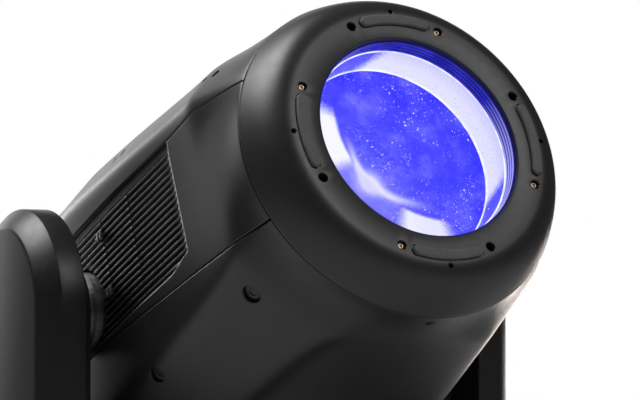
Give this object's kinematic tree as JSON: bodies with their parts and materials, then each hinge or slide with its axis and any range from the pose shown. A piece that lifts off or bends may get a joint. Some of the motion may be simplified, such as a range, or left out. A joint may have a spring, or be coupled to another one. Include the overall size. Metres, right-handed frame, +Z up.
{
  "type": "moving head light",
  "caption": "Moving head stage light: a base with display and sockets, a yoke that pans on it, and a tilting head with a large front lens and louvred sides.",
  "frame": {"origin": "centre of the base plate's underside, on the pan axis; the rubber feet reach 12 mm below it", "axes": "+Z up along the pan axis, -Y towards the front of the base and the lens at rest, +X along the tilt axis"},
  "size_m": [0.47, 0.6397, 0.795],
  "materials": {
    "charcoal_plastic": "satin, fine grain",
    "black_plastic": "satin",
    "grey_rubber": "matt",
    "zinc_steel": "plated",
    "cast_aluminium": "cast, satin",
    "black_painted_metal": "powder coat",
    "black_anodised": "anodised",
    "blue_lit_glass": "polished, lit blue from inside",
    "display_glass": "polished",
    "button_grey": "satin"
  },
  "bodies": {
    "base": {"base_plate": "black_painted_metal", "base_cover": "charcoal_plastic", "foot_front_left": "grey_rubber", "foot_front_right": "grey_rubber", "foot_rear_left": "grey_rubber", "foot_rear_right": "grey_rubber", "quick_lock_left": "zinc_steel", "quick_lock_right": "zinc_steel", "handle_left": "black_plastic", "handle_right": "black_plastic", "display_panel": "black_plastic", "display_screen": "display_glass", "connector_panel": "zinc_steel", "power_inlet": "black_plastic", "data_in_socket": "black_plastic", "data_out_socket": "black_plastic", "safety_eye": "zinc_steel", "power_supply": "cast_aluminium", "pan_bearing": "zinc_steel", "pan_ring_gear": "zinc_steel"},
    "yoke": {"yoke_bridge": "charcoal_plastic", "arm_frame_left": "black_plastic", "arm_frame_right": "black_plastic", "arm_cover_left": "charcoal_plastic", "arm_cover_right": "charcoal_plastic", "tilt_motor": "black_painted_metal", "pan_motor": "black_painted_metal", "tilt_belt": "grey_rubber"},
    "head": {"front_bezel": "charcoal_plastic", "bumper_top": "grey_rubber", "bumper_right": "grey_rubber", "bumper_bottom": "grey_rubber", "bumper_left": "grey_rubber", "lens_ring": "black_anodised", "front_lens": "blue_lit_glass", "upper_cover": "charcoal_plastic", "lower_cover": "charcoal_plastic", "side_panel_left": "charcoal_plastic", "side_panel_right": "charcoal_plastic", "rear_cap": "black_plastic", "head_chassis": "cast_aluminium", "led_engine": "black_anodised", "led_heatsink": "cast_aluminium", "tilt_pulley": "cast_aluminium"},
    "base_fan_body": {"base_fan": "black_plastic"},
    "pan_pinion_body": {"pan_pinion": "zinc_steel"},
    "tilt_motor_pulley_body": {"tilt_motor_pulley": "cast_aluminium"},
    "pan_lock_body": {"pan_lock": "zinc_steel"},
    "tilt_lock_body": {"tilt_lock": "zinc_steel"},
    "colour_wheel_body": {"colour_wheel": "cast_aluminium"},
    "gobo_wheel_body": {"gobo_wheel": "cast_aluminium"},
    "zoom_carriage_body": {"zoom_carriage": "black_anodised"},
    "focus_carriage_body": {"focus_carriage": "black_anodised"},
    "head_fan_left_body": {"head_fan_left": "black_plastic"},
    "head_fan_right_body": {"head_fan_right": "black_plastic"},
    "menu_button_enter_body": {"menu_button_enter": "button_grey"},
    "menu_button_up_body": {"menu_button_up": "button_grey"},
    "menu_button_down_body": {"menu_button_down": "button_grey"},
    "menu_button_left_body": {"menu_button_left": "button_grey"},
    "menu_button_right_body": {"menu_button_right": "button_grey"}
  },
  "joints": [
    {"name": "pan", "type": "hinge", "parent": "base", "child": "yoke", "pos_m": [0, 0, 0], "axis": [0, 0, 1], "range_deg": [-270, 270]},
    {"name": "tilt", "type": "hinge", "parent": "yoke", "child": "head", "pos_m": [0, 0, 0.525], "axis": [1, 0, 0], "range_deg": [-200.74, 69.26]},
    {"name": "pan_pinion_spin", "type": "hinge", "parent": "yoke", "child": "pan_pinion_body", "pos_m": [0.095, 0, 0.1559], "axis": [0, 0, 1], "range_deg": [-2280, 2280]},
    {"name": "tilt_motor_spin", "type": "hinge", "parent": "yoke", "child": "tilt_motor_pulley_body", "pos_m": [0.2045, 0, 0.28], "axis": [1, 0, 0], "range_deg": [-760, 262]},
    {"name": "pan_lock_turn", "type": "hinge", "parent": "yoke", "child": "pan_lock_body", "pos_m": [-0.12, -0.0803, 0.186], "axis": [0, 1, 0], "range_deg": [0, 60]},
    {"name": "tilt_lock_slide", "type": "slide", "parent": "yoke", "child": "tilt_lock_body", "axis": [0, 0, 1], "range_m": [0, 0.012]},
    {"name": "colour_wheel_spin", "type": "hinge", "parent": "head", "child": "colour_wheel_body", "pos_m": [0, -0.04083, 0.48307], "axis": [0, -0.9117, 0.4109], "continuous": true},
    {"name": "gobo_wheel_spin", "type": "hinge", "parent": "head", "child": "gobo_wheel_body", "pos_m": [0, -0.01205, 0.59076], "axis": [0, -0.9117, 0.4109], "continuous": true},
    {"name": "zoom_travel", "type": "slide", "parent": "head", "child": "zoom_carriage_body", "axis": [0, -0.9117, 0.4109], "range_m": [-0.034, 0.03]},
    {"name": "focus_travel", "type": "slide", "parent": "head", "child": "focus_carriage_body", "axis": [0, -0.9117, 0.4109], "range_m": [-0.026, 0.045]},
    {"name": "head_fan_left_spin", "type": "hinge", "parent": "head", "child": "head_fan_left_body", "pos_m": [-0.056, 0.20239, 0.43378], "axis": [0, -0.9117, 0.4109], "continuous": true},
    {"name": "head_fan_right_spin", "type": "hinge", "parent": "head", "child": "head_fan_right_body", "pos_m": [0.056, 0.20239, 0.43378], "axis": [0, -0.9117, 0.4109], "continuous": true},
    {"name": "base_fan_spin", "type": "hinge", "parent": "base", "child": "base_fan_body", "pos_m": [0.17, 0, 0.062], "axis": [1, 0, 0], "continuous": true},
    {"name": "menu_enter_press", "type": "slide", "parent": "base", "child": "menu_button_enter_body", "axis": [0, 1, 0], "range_m": [0, 0.0015], "stiffness_N_per_m": 400, "springref_m": -0.0008},
    {"name": "menu_up_press", "type": "slide", "parent": "base", "child": "menu_button_up_body", "axis": [0, 1, 0], "range_m": [0, 0.0015], "stiffness_N_per_m": 400, "springref_m": -0.0008},
    {"name": "menu_down_press", "type": "slide", "parent": "base", "child": "menu_button_down_body", "axis": [0, 1, 0], "range_m": [0, 0.0015], "stiffness_N_per_m": 400, "springref_m": -0.0008},
    {"name": "menu_left_press", "type": "slide", "parent": "base", "child": "menu_button_left_body", "axis": [0, 1, 0], "range_m": [0, 0.0015], "stiffness_N_per_m": 400, "springref_m": -0.0008},
    {"name": "menu_right_press", "type": "slide", "parent": "base", "child": "menu_button_right_body", "axis": [0, 1, 0], "range_m": [0, 0.0015], "stiffness_N_per_m": 400, "springref_m": -0.0008}
  ],
  "couplings": [
    {"joint": "pan_pinion_spin", "follows": "pan", "ratio": 8.43},
    {"joint": "tilt_motor_spin", "follows": "tilt", "ratio": 3.75}
  ]
}
